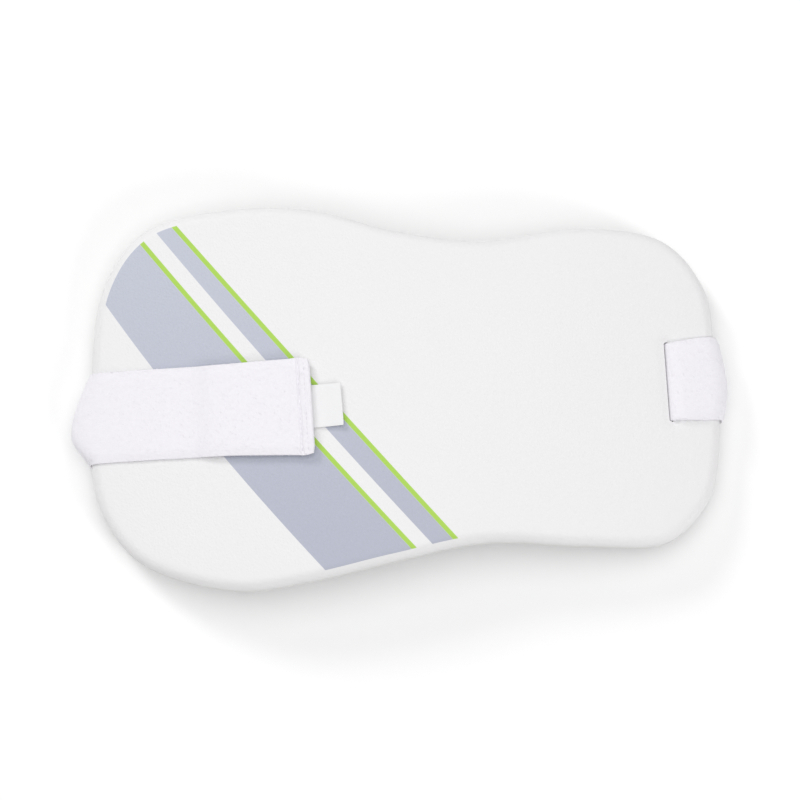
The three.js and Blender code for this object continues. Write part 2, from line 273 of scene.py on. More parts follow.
class GuardSettings(PropertyGroup):
    pad: PointerProperty(type=PadSettings)
    design: PointerProperty(type=PrintSettings)
    strap: PointerProperty(type=StrapSettings)
    patch: PointerProperty(type=PatchSettings)
    label: PointerProperty(type=LabelSettings)
    stitch: PointerProperty(type=StitchSettings)
    stage: PointerProperty(type=StageSettings)


# Nodes


class Term:
    """A socket in a Python expression: each operator adds a Math node to the socket's tree."""

    def __init__(self, maker, socket):
        self.maker = maker
        self.socket = socket

    def __getitem__(self, output):
        return Term(self.maker, self.socket.node.outputs[output])

    def __add__(self, other):
        return self.maker.maths("ADD", self, other)

    def __radd__(self, other):
        return self.maker.maths("ADD", other, self)

    def __sub__(self, other):
        return self.maker.maths("SUBTRACT", self, other)

    def __mul__(self, other):
        return self.maker.maths("MULTIPLY", self, other)

    def __rmul__(self, other):
        return self.maker.maths("MULTIPLY", other, self)

    def wave(self, length):
        """A sine wave of a length in metres."""
        return self.maker.maths("SINE", self * (math.tau / length))

    def about(self, level, spread):
        """A level that this value, from 0 to 1, varies by a spread."""
        return level + spread * (self - 0.5)

    def smooth(self, low, high):
        """0 below low, 1 above high, and a smooth way between."""
        ends = {"Value": self, "From Min": low, "From Max": high}
        return self.maker.node("ShaderNodeMapRange", {"interpolation_type": "SMOOTHSTEP"}, ends)


class NodeMaker:
    """Makes nodes in one tree: settings first, then the values or links of the sockets."""

    def __init__(self, tree):
        self.tree = tree

    def node(self, kind, settings=None, inputs=None, output=0):
        made = self.tree.nodes.new(kind)
        for name, value in (settings or {}).items():
            setattr(made, name, value)
        for name, value in (inputs or {}).items():
            if isinstance(value, Term):
                self.tree.links.new(value.socket, made.inputs[name])
            else:
                made.inputs[name].default_value = value
        return Term(self, made.outputs[output]) if made.outputs else made

    def maths(self, operation, first, second=0.0):
        return self.node("ShaderNodeMath", {"operation": operation}, {0: first, 1: second})


class Finish(NodeMaker):
    """A material in the making."""

    def __init__(self, name):
        self.material = bpy.data.materials.new(name)
        self.material.use_nodes = True
        super().__init__(self.material.node_tree)
        self.tree.nodes.clear()

    def place(self):
        """The object coordinates."""
        return self.node("ShaderNodeTexCoord", output="Object")

    def plan(self, vector):
        """The first two parts of a vector."""
        parts = self.node("ShaderNodeSeparateXYZ", inputs={"Vector": vector})
        return parts["X"], parts["Y"]

    def cloth(self):
        """The UV of a band: the vector, and its distances along and across the band."""
        uv = self.node("ShaderNodeUVMap", {"uv_map": "cloth"})
        return uv, *self.plan(uv)

    def attribute(self, name):
        return self.node("ShaderNodeAttribute", {"attribute_name": name}, output="Fac")

    def noise(self, vector, scale, detail=3.0, roughness=0.5):
        inputs = {"Vector": vector, "Scale": scale, "Detail": detail, "Roughness": roughness}
        return self.node("ShaderNodeTexNoise", inputs=inputs, output="Fac")

    def blend(self, factor, first, second):
        """A mix of two colours, each a plain colour or a socket, in the node's sockets for colour."""
        first, second = (c if isinstance(c, Term) else (*c, 1.0) for c in (first, second))
        inputs = {0: factor, 6: first, 7: second}
        return self.node("ShaderNodeMix", {"data_type": "RGBA"}, inputs, output=2)

    def tone(self, factor, colour, first, last):
        """A colour that is dimmed by one share at factor 0 and by another at factor 1."""
        return self.blend(factor, [first * c for c in colour], [last * c for c in colour])

    def bump(self, height, distance, strength=1.0, under=None):
        inputs = {"Height": height, "Distance": distance, "Strength": strength}
        if under is not None:
            inputs["Normal"] = under
        return self.node("ShaderNodeBump", inputs=inputs)

    def surface(self, **sockets):
        """Ends the material in a principled surface. Socket names have underscores for spaces."""
        inputs = {name.replace("_", " "): value for name, value in sockets.items()}
        shader = self.node("ShaderNodeBsdfPrincipled", inputs=inputs)
        self.node("ShaderNodeOutputMaterial", inputs={"Surface": shader})
        return self.material


class Growth(NodeMaker):
    """A Geometry Nodes tree in the making, with named inputs and a material."""

    def __init__(self, name, inputs):
        super().__init__(bpy.data.node_groups.new(name, "GeometryNodeTree"))
        face = self.tree.interface
        face.new_socket("Geometry", in_out="INPUT", socket_type="NodeSocketGeometry")
        self.ids = {}
        for label, kind in {**inputs, "Material": "Material"}.items():
            socket = face.new_socket(label, in_out="INPUT", socket_type="NodeSocket" + kind)
            self.ids[label] = socket.identifier
        face.new_socket("Geometry", in_out="OUTPUT", socket_type="NodeSocketGeometry")
        self.given = self.node("NodeGroupInput")

    def bent_thread(self, start, middle, end, radius, resolution, sides):
        """A short round thread on a bent line."""
        points = {"Resolution": resolution, "Start": start, "Middle": middle, "End": end}
        line = self.node("GeometryNodeCurveQuadraticBezier", inputs=points)
        circle = {"Resolution": sides, "Radius": radius}
        ring = self.node("GeometryNodeCurvePrimitiveCircle", inputs=circle)
        sweep = {"Curve": line, "Profile Curve": ring, "Fill Caps": True}
        return self.node("GeometryNodeCurveToMesh", inputs=sweep)

    def vector(self, x=0.0, y=0.0, z=0.0):
        return self.node("ShaderNodeCombineXYZ", inputs={"X": x, "Y": y, "Z": z})

    def random(self, low, high, seed):
        """A random number for each point, from the node's sockets for plain numbers."""
        inputs = {2: low, 3: high, 8: seed}
        return self.node("FunctionNodeRandomValue", {"data_type": "FLOAT"}, inputs, output=1)

    def named(self, name, kind):
        """An attribute of the mesh."""
        return self.node("GeometryNodeInputNamedAttribute", {"data_type": kind}, {"Name": name})

    def facing(self, up, ahead):
        """The turn that stands a thing up and points it ahead."""
        axes = {"Primary Axis": up, "Secondary Axis": ahead}
        ways = {"primary_axis": "Z", "secondary_axis": "X"}
        return self.node("FunctionNodeAxesToRotation", ways, axes)

    def finish(self, points, instance, turn, **more):
        """Sets an instance on each point, makes them real and gives them the material."""
        placed = {"Points": points, "Instance": instance, "Rotation": turn, **more}
        instances = self.node("GeometryNodeInstanceOnPoints", inputs=placed)
        real = self.node("GeometryNodeRealizeInstances", inputs={"Geometry": instances})
        smooth = self.node("GeometryNodeSetShadeSmooth", inputs={"Geometry": real})
        dressed = {"Geometry": smooth, "Material": self.given["Material"]}
        done = self.node("GeometryNodeSetMaterial", inputs=dressed)
        self.node("NodeGroupOutput", inputs={"Geometry": done})
        return self

    def grow(self, obj, material, values):
        """Runs the tree on an object and leaves a plain mesh."""
        modifier = obj.modifiers.new(self.tree.name, "NODES")
        modifier.node_group = self.tree
        for label, value in {**values, "Material": material}.items():
            modifier[self.ids[label]] = value
        bake(obj)


# Meshes


def bake(obj):
    """Turns an object's modifiers into a plain mesh."""
    bpy.context.view_layer.update()
    graph = bpy.context.evaluated_depsgraph_get()
    final = obj.evaluated_get(graph)
    mesh = bpy.data.meshes.new_from_object(final, preserve_all_data_layers=True, depsgraph=graph)
    obj.modifiers.clear()
    obj.data = mesh


def mesh_object(name, vertices, faces=(), edges=()):
    """A new object in the scene, at the origin, with its place in its mesh."""
    mesh = bpy.data.meshes.new(name)
    mesh.from_pydata([tuple(v) for v in vertices], [tuple(e) for e in edges], [tuple(f) for f in faces])
    obj = bpy.data.objects.new(name, mesh)
    bpy.context.scene.collection.objects.link(obj)
    return obj


def add_values(obj, name, values):
    """A number or vector attribute on the points of a mesh."""
    values = np.asarray(values, dtype=float)
    kind, field = ("FLOAT", "value") if values.ndim == 1 else ("FLOAT_VECTOR", "vector")
    obj.data.attributes.new(name, kind, "POINT").data.foreach_set(field, values.ravel())


def shade_smooth(obj, sharp_degrees):
    obj.data.polygons.foreach_set("use_smooth", [True] * len(obj.data.polygons))
    obj.data.set_sharp_from_angle(angle=math.radians(sharp_degrees))


def dress(obj, material, slot, *nodes):
    """Gives a piece its material, lets it stand for its nodes, and fixes it to the guard. The slot is
    not used.
    """
    obj.data.materials.clear()
    obj.data.materials.append(material)
    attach(obj, "root")
    if nodes:
        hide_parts(*nodes)


def smoothstep(low, high, value):
    part = np.clip((value - low) / (high - low), 0.0, 1.0)
    return part * part * (3.0 - 2.0 * part)


def lerp(first, last, part):
    return first + (last - first) * part


# Pad


class PadForm:
    """The pad's outline, bow and rim, in metres."""

    # Steps of the mesh: from section to section, over the rim and the shoulder, across the face,
    # round the back edge and round each end of the slot
    SPAN_STEPS = 16
    RIM_STEPS = 14
    SHOULDER_STEPS = 9
    FACE_ROWS = 56
    BACK_STEPS = 8
    SLOT_STEPS = 12
    # How far round the slot the mesh is cut finer, in reaches of its lip, and by how many cuts
    FINE_REACH = 2.0
    FINE_CUTS = 3
    # Share of the slot's width in which the depth of its left edge passes into that of its right
    LIP_EASE = 0.75
    # Share of the thickness, from the back up, in which the pressing grows to its full depth
    PRESS_RISE = 0.8

    def __init__(self, pad):
        self.pad = pad
        self.radius = (pad.foot**2 + pad.bow_rise**2) / (2 * pad.bow_rise)
        self.points, self.inward = self.outline()

    def bow(self, x):
        chord = math.sqrt(self.radius**2 - self.pad.foot**2)
        return np.sqrt(self.radius**2 - (x - self.pad.bow_middle) ** 2) - chord

    def drop(self, inset):
        """How far the face lies below its middle at an inset from the outline."""
        near = np.clip(1 - inset / self.pad.rim_run, 0, 1)
        far = np.clip(1 - inset / self.pad.shoulder_run, 0, 1)
        return self.pad.rim_rise * (1 - np.sqrt(1 - near**2)) + self.pad.shoulder_drop * far**2

    def face(self, x):
        """Height of the face along the strap's line, with the soft fall towards both ends."""
        inset = np.minimum(x - LEFT_END[0] * MM, RIGHT_END[0] * MM - x)
        inset = np.maximum(inset, self.pad.rim_run)
        return self.pad.lift + self.pad.thickness + self.bow(x) - self.drop(inset)

    def outline(self):
        """Points of a smooth closed curve through the ends and sections, and its inward normals."""
        upper = [(s.x, s.top) for s in SECTIONS]
        lower = [(s.x, s.bottom) for s in reversed(SECTIONS)]
        stops = np.array([LEFT_END, *upper, RIGHT_END, *lower]) * MM
        part = np.linspace(0, 1, self.SPAN_STEPS, endpoint=False)[:, None]
        points, tangents = [], []
        for i in range(len(stops)):
            a, b, c, d = (stops[(i + k) % len(stops)] for k in (-1, 0, 1, 2))
            before, along, after = (math.sqrt(math.dist(*pair)) for pair in ((a, b), (b, c), (c, d)))
            leave = ((b - a) / before - (c - a) / (before + along) + (c - b) / along) * along
            reach = ((c - b) / along - (d - b) / (along + after) + (d - c) / after) * along
            square, cube = 2 * leave, 2 * b - 2 * c + leave + reach
            square = 3 * c - 3 * b - square - reach
            points.append(b + leave * part + square * part**2 + cube * part**3)
            tangents.append(leave + 2 * square * part + 3 * cube * part**2)
        points, tangents = np.concatenate(points), np.concatenate(tangents)
        tangents /= np.linalg.norm(tangents, axis=1)[:, None]
        return points, np.column_stack([tangents[:, 1], -tangents[:, 0]])

    def rim_rows(self, offset):
        """Rows from the side wall up over the rim and in to the flat face, grown outwards by offset."""
        turn = np.linspace(0, math.pi / 2, self.RIM_STEPS + 1)
        rim = self.pad.rim_run * (1 - np.cos(turn))
        shoulder = np.linspace(self.pad.rim_run, self.pad.shoulder_run, self.SHOULDER_STEPS + 1)[1:]
        inset = np.concatenate([rim, shoulder])
        height = self.pad.thickness - self.drop(inset)
        inwards, upwards = np.gradient(inset), np.gradient(height)
        inwards[0] = 0.0
        slant = np.hypot(inwards, upwards)
        return np.column_stack([inset - offset * upwards / slant, height + offset * inwards / slant])

    def back_rows(self):
        turn = np.linspace(0, math.pi / 2, self.BACK_STEPS + 1)
        inset = self.pad.back_run * (1 - np.cos(turn))
        return np.column_stack([inset, self.pad.back_rise * (1 - np.sin(turn))])

    def place(self, plan, height):
        """Points in space from points in plan and their heights over the pad's back."""
        return np.column_stack([plan, self.pad.lift + height + self.bow(plan[:, 0])])

    def plate(self, name, rows, closed):
        """A plate of the pad's outline. Rows lead from its face down and, if closed, under it."""
        count, half = len(self.points), len(self.points) // 2
        vertices = [self.place(self.points + self.inward * inset, height) for inset, height in rows]
        from_edge = [np.full(count, inset) for inset, _ in rows]
        faces = []
        for r in range(len(rows) - 1):
            for i in range(count):
                n = (i + 1) % count
                faces.append((r * count + i, r * count + n, (r + 1) * count + n, (r + 1) * count + i))

        def fill(row, upwards):
            """Fills a ring by columns, each from a point of the upper edge to the one that it faces."""
            inset, height = rows[row]
            plan = self.points + self.inward * inset
            columns = [[row * count] * (self.FACE_ROWS + 1)]
            part = np.arange(1, self.FACE_ROWS)[:, None] / self.FACE_ROWS
            for k in range(1, half):
                start = sum(len(v) for v in vertices)
                inner = lerp(plan[k], plan[count - k], part)
                vertices.append(self.place(inner, height))
                from_edge.append(np.full(len(inner), inset))
                inside = range(start, start + len(inner))
                columns.append([row * count + k, *inside, row * count + count - k])
            columns.append([row * count + half] * (self.FACE_ROWS + 1))
            for left, right in zip(columns, columns[1:]):
                for j in range(self.FACE_ROWS):
                    corners = dict.fromkeys((left[j], left[j + 1], right[j + 1], right[j]))
                    faces.append(tuple(corners) if upwards else tuple(reversed(corners)))

        fill(0, True)
        if closed:
            fill(len(rows) - 1, False)
        obj = mesh_object(name, np.concatenate(vertices), faces)
        add_values(obj, "from_edge", np.concatenate(from_edge))
        return obj

    def slot_place(self, x, y):
        """How far a point in plan lies to the right of the slot's middle line, and outside its edge."""
        heading = math.radians(SLOT.heading)
        dx, dy = x - SLOT.x * MM, y - SLOT.y * MM
        ahead = dx * math.cos(heading) + dy * math.sin(heading)
        along = np.abs(dy * math.cos(heading) - dx * math.sin(heading))
        radius = self.pad.slot_width / 2
        past_end = np.maximum(0.0, along - self.pad.slot_length / 2 + radius)
        return ahead, np.maximum(0.0, np.hypot(ahead, past_end) - radius)

    def press(self, x, y):
        """How far the face is pressed in round the slot: most on the right, where the strap pulls."""
        ahead, away = self.slot_place(x, y)
        ease = self.LIP_EASE * self.pad.slot_width
        depth = lerp(self.pad.lip_depth, self.pad.sunk_depth, smoothstep(-ease, ease, ahead))
        return depth * np.exp(-((away / self.pad.lip_reach) ** 2))

    def cut_finer(self, obj):
        """Cuts the mesh finer round the slot."""
        shape = bmesh.new()
        shape.from_mesh(obj.data)
        reach = self.FINE_REACH * self.pad.lip_reach
        middles = [(face, face.calc_center_median().xy) for face in shape.faces]
        near = [face for face, middle in middles if self.slot_place(*middle)[1] < reach]
        edges = list(dict.fromkeys(edge for face in near for edge in face.edges))
        bmesh.ops.subdivide_edges(shape, edges=edges, cuts=self.FINE_CUTS, use_grid_fill=True)
        shape.to_mesh(obj.data)
        shape.free()

    def press_lip(self, obj):
        """Presses the upper side in along the slot's edge, and the rest less with its depth."""
        places = np.empty(3 * len(obj.data.vertices))
        obj.data.vertices.foreach_get("co", places)
        places = places.reshape(-1, 3)
        x, y, z = places.T.copy()
        height = z - self.pad.lift - self.bow(x)
        risen = self.PRESS_RISE * self.pad.thickness
        places[:, 2] -= self.press(x, y) * smoothstep(0.0, risen, height)
        obj.data.vertices.foreach_set("co", places.ravel())
        obj.data.update()

    def slot_cutter(self):
        """A tall round-ended block of the slot's size."""
        heading = math.radians(SLOT.heading)
        radius = self.pad.slot_width / 2
        straight = self.pad.slot_length / 2 - radius
        ring = []
        for turn, end in ((0.0, straight), (math.pi, -straight)):
            for angle in np.linspace(turn, turn + math.pi, self.SLOT_STEPS + 1):
                ahead, along = radius * math.cos(angle), end + radius * math.sin(angle)
                x = SLOT.x * MM + ahead * math.cos(heading) - along * math.sin(heading)
                y = SLOT.y * MM + ahead * math.sin(heading) + along * math.cos(heading)
                ring.append((x, y))
        count = len(ring)
        top = CAD_BOX[1][2] * 2
        vertices = [(x, y, z) for z in (-top, top) for x, y in ring]
        sides = [(i, (i + 1) % count, count + (i + 1) % count, count + i) for i in range(count)]
        caps = [range(count)[::-1], range(count, 2 * count)]
        return mesh_object("slot_cutter", vertices, [*caps, *sides])

    def cut_slot(self, obj):
        """Cuts the slot and presses in its lip."""
        cutter = self.slot_cutter()
        cut = obj.modifiers.new("slot", "BOOLEAN")
        cut.object = cutter
        cut.operation = "DIFFERENCE"
        cut.solver = "EXACT"
        bake(obj)
        bpy.data.objects.remove(cutter)
        self.press_lip(obj)


def cover_material(pad, design):
    """Grained white sheet with grey and lime stripes that stop short of the rim; the grey carries
    painted light, lighter towards the upper edge.
    """
    finish = Finish("printed_cover")
    place = finish.place()
    x, y = finish.plan(place)
    # About how far the pad reaches up and down from its middle
    upper = 100 * MM

    def past(edge, shift=0.0):
        """How far a point lies to the right of a stripe's border, square to it."""
        square = 1 / math.hypot(1, edge.slant)
        line = edge.at * MM + edge.slant * y + edge.bend / MM * (y * y)
        return (x - line) * square - shift

    def after(edge, shift=0.0):
        return past(edge, shift).smooth(-design.blur, design.blur)

    half = design.lime_width / 2
    border = finish.attribute("from_edge") - design.margin - design.slip / upper * y
    inside = border.smooth(-design.blur, design.blur)
    lime = grey = 0.0
    for edge, line in ((GREY_BAND_EDGE, FIRST_LIME), (GREY_LINE_EDGE, SECOND_LIME)):
        begun = after(line, -half)
        lime += begun - after(line, half)
        grey += after(edge) - begun

    mottle = finish.noise(place, scale=900, detail=4.0, roughness=0.6)
    cloud = finish.noise(place, scale=18, detail=2.0)
    white = finish.tone(cloud, pad.cover_white, first=1.0, last=0.985)
    # Painted light: the grey ink blends from its shaded copy at the pad's lower edge to its lit copy at
    # the upper edge, with random mottle on top
    height = y.smooth(-upper, upper)
    ink_and_painted_light = finish.blend(mottle.about(height, spread=0.8), design.grey_painted_shaded_lower, design.grey_painted_lit_upper)
    colour = finish.blend(grey * inside, white, ink_and_painted_light)
    colour = finish.blend(lime * inside, colour, design.lime)

    pattern = {"Vector": place, "Scale": 800.0, "Smoothness": 0.35}
    cells = finish.node("ShaderNodeTexVoronoi", {"feature": "SMOOTH_F1"}, pattern)
    swell = finish.bump(finish.noise(place, scale=240), distance=0.3 * MM, strength=0.25)
    grain = finish.bump(cells, distance=0.2 * MM, strength=0.6, under=swell)
    specks = finish.noise(place, scale=2600, detail=2.0)
    pores = finish.bump(specks, distance=0.04 * MM, strength=0.3, under=grain)
    rough = mottle.about(0.52, spread=0.1)
    return finish.surface(Base_Color=colour, Roughness=rough, Normal=pores, Specular_IOR_Level=0.3)


def foam_material(pad):
    """Matt closed-cell foam with a fine skin."""
    finish = Finish("moulded_foam")
    place = finish.place()
    cloud = finish.noise(place, scale=30)
    colour = finish.tone(cloud, pad.foam_white, first=1.0, last=0.965)
    cells = finish.node("ShaderNodeTexVoronoi", {"feature": "F1"}, {"Vector": place, "Scale": 1500.0})
    skin = finish.bump(cells, distance=0.12 * MM, strength=0.4)
    swell = finish.noise(place, scale=120, detail=2.0)
    waves = finish.bump(swell, distance=0.4 * MM, strength=0.25, under=skin)
    rough = cloud.about(0.68, spread=0.12)
    return finish.surface(Base_Color=colour, Roughness=rough, Normal=waves, Specular_IOR_Level=0.3)


class GUARD_OT_pad(Operator):
    """Makes the foam and the printed cover of the pad"""

    bl_idname = "chest_guard.make_pad"
    bl_label = "Make Pad"

    def execute(self, context):
        settings = context.scene.chest_guard
        pad = settings.pad
        form = PadForm(pad)
        cover = form.plate("pad_cover", form.rim_rows(0.0)[::-1], closed=False)
        form.cut_finer(cover)
        wall = cover.modifiers.new("wall", "SOLIDIFY")
        wall.thickness = pad.cover_wall
        wall.offset = -1.0
        bake(cover)
        form.cut_slot(cover)
        shade_smooth(cover, sharp_degrees=40)
        dress(cover, cover_material(pad, settings.design), "printed_face", "face_cover")

        under = pad.cover_wall + pad.seat_gap
        ledge = pad.thickness - form.drop(0.0) - pad.seat_gap
        seat = [(under, ledge), (0.0, ledge)]
        rows = [*form.rim_rows(-under)[::-1], *seat, *form.back_rows()]
        foam = form.plate("pad_foam", rows, closed=True)
        form.cut_finer(foam)
        form.cut_slot(foam)
        shade_smooth(foam, sharp_degrees=40)
        dress(foam, foam_material(pad), "foam", "foam_core")
        return {"FINISHED"}


# Bands: the strap, the label and the tape of the hook patch


def steps(rows):
    """Distances from the place of each row to that of the next."""
    return np.linalg.norm(np.diff(rows[:, :3], axis=0), axis=1)


class Band:
    """A flat band swept through stations, with rounded edges.

    A station has the place of the band's middle (x, y, z), its heading in radians, the reach of its
    upper and lower edge from the middle, its thickness, the slack that pushes it along its heading,
    where across it that is fullest and how steeply it falls off, how far it follows the pad's bow,
    how far its edges tip up or down, and how much of its thickness it loses at its edges. Its outer
    side is the upper one of a leg that runs to the left, and is shown where it faces upwards.
    """

    COLUMNS = "x y z heading upper lower thick slack crest fall bowed tip taper".split()
    EDGE_STEPS = 5
    # Distance within which two stations are one
    SAME_PLACE = 0.001 * MM
    # Lane from which the band thins towards its edges, and lane up to which its outer side is flat
    THIN_LANE = 0.84
    FLAT_LANE = 0.97
    # Share of the edges' nap that the flat outer side has
    FLAT_NAP = 0.25
    # How far round the edges, from -1 at the outer side to 1 at the inner, the nap reaches
    NAP_SIDE = 0.3
    # How far upwards the outer side has to face to be shown: 0 is sideways and 1 is straight up
    SHOWN_FROM = 0.3

    def __init__(self, form, legs, step, lanes, fine_run=0.0, fine_step=1.0):
        self.form = form
        self.lanes = lanes
        rows = np.concatenate([self.table(leg) for leg in legs])
        rows = rows[np.concatenate([[True], steps(rows) > self.SAME_PLACE])]
        run = np.concatenate([[0.0], np.cumsum(steps(rows))])
        fine = np.arange(0.0, fine_run, fine_step)
        coarse = np.linspace(fine_run, run[-1], max(2, int(round((run[-1] - fine_run) / step))) + 1)
        self.run = np.concatenate([fine, coarse])
        for i, name in enumerate(self.COLUMNS):
            setattr(self, name, np.interp(self.run, run, rows[:, i]))
        self.middle = np.column_stack([self.x, self.y, self.z])
        self.ahead = np.column_stack([np.cos(self.heading), np.sin(self.heading), 0 * self.x])
        self.across = np.column_stack([-np.sin(self.heading), np.cos(self.heading), 0 * self.x])
        inner = np.cross(np.gradient(self.middle, axis=0), self.across)
        self.inner = inner / np.linalg.norm(inner, axis=1)[:, None]

    def table(self, leg):
        """A leg's columns as an array, with single values spread along it."""
        count = len(leg["x"])
        plain = {**dict.fromkeys(self.COLUMNS, 0.0), "fall": 1.0, **leg}
        return np.column_stack([np.broadcast_to(plain[name], count) for name in self.COLUMNS])

    def slack_at(self, lane):
        """Slack across a fold: most at its crest, falling off smoothly to nothing at the edges."""
        side = np.where(lane > self.crest, 1 - self.crest, 1 + self.crest)
        level = np.cos(np.abs(lane - self.crest) / side * math.pi / 2)
        return self.slack * np.maximum(level, 0.0) ** self.fall

    def points(self, lane, side, outwards=0.0):
        """Points along the band at a lane from -1 to 1 and a side from -1, outer, to 1, inner."""
        half = self.thick / 2 * (1 - self.taper * smoothstep(self.THIN_LANE, 1.0, abs(lane)))
        reach = np.where(lane > 0, self.upper, self.lower) - self.thick / 2
        across = lane * reach + outwards * half
        place = self.middle + self.across * across[:, None] + self.ahead * self.slack_at(lane)[:, None]
        lift = self.form.bow(place[:, 0]) - self.form.bow(self.x)
        place[:, 2] += self.bowed * lift + self.tip * lane
        return place + self.inner * (self.thick / 2 - half + side * half)[:, None], across

    def spot(self, run, lane):
        """A point on the outer side at one place along and across the band, and the way out of it."""
        places, _ = self.points(lane, -1.0)
        point = [np.interp(run, self.run, places[:, i]) for i in range(3)]
        return point, [np.interp(run, self.run, -self.inner[:, i]) for i in range(3)]

    def build(self, name, relief=None):
        """The band's mesh, with length and breadth in metres as UV. Relief raises the outer side."""
        flat = np.linspace(-1, 1, self.lanes + 1)
        turn = np.linspace(0, math.pi, self.EDGE_STEPS + 2)[1:-1]
        profile = [(lane, 1.0, 0.0) for lane in flat]
        profile += [(1.0, math.cos(a), math.sin(a)) for a in turn]
        profile += [(lane, -1.0, 0.0) for lane in flat[::-1]]
        profile += [(-1.0, -math.cos(a), -math.sin(a)) for a in turn]
        stations, around = len(self.run), len(profile)
        vertices = np.empty((stations, around, 3))
        breadth = np.empty((stations, around))
        for j, (lane, side, outwards) in enumerate(profile):
            vertices[:, j], breadth[:, j] = self.points(lane, side, outwards)
            if relief is not None and side < 0:
                vertices[:, j] += self.inner * (side * relief(self.run, breadth[:, j]))[:, None]
        index = np.arange(stations * around).reshape(stations, around)
        turned = np.roll(index, -1, axis=1)
        quads = np.stack([index[:-1], turned[:-1], turned[1:], index[1:]], axis=-1).reshape(-1, 4)
        ends = [tuple(index[0][::-1]), tuple(index[-1])]
        obj = mesh_object(name, vertices.reshape(-1, 3), [*quads.tolist(), *ends])
        shape = bmesh.new()
        shape.from_mesh(obj.data)
        bmesh.ops.recalc_face_normals(shape, faces=shape.faces)
        shape.to_mesh(obj.data)
        shape.free()
        uv = obj.data.uv_layers.new(name="cloth")
        corner = np.empty(len(obj.data.loops), dtype=int)
        obj.data.loops.foreach_get("vertex_index", corner)
        flat_uv = np.column_stack([np.repeat(self.run, around), breadth.ravel()])
        uv.data.foreach_set("uv", flat_uv[corner].ravel())
        lanes, sides, _ = np.array(profile).T
        outer = np.where(np.abs(lanes) < self.FLAT_LANE, self.FLAT_NAP, 1.0) * (sides <= self.NAP_SIDE)
        upwards = self.inner[:, 2] < -self.SHOWN_FROM
        add_values(obj, "shown", (upwards[:, None] * outer).ravel())
        shade_smooth(obj, sharp_degrees=60)
        return obj


def reversed_leg(leg):
    """A leg taken the other way."""
    return {name: value[::-1] if np.ndim(value) else value for name, value in leg.items()}


def ripple(run, first, second):
    """Two waves over one another, with their lengths per radian."""
    return np.sin(run / first) * np.sin(run / second)


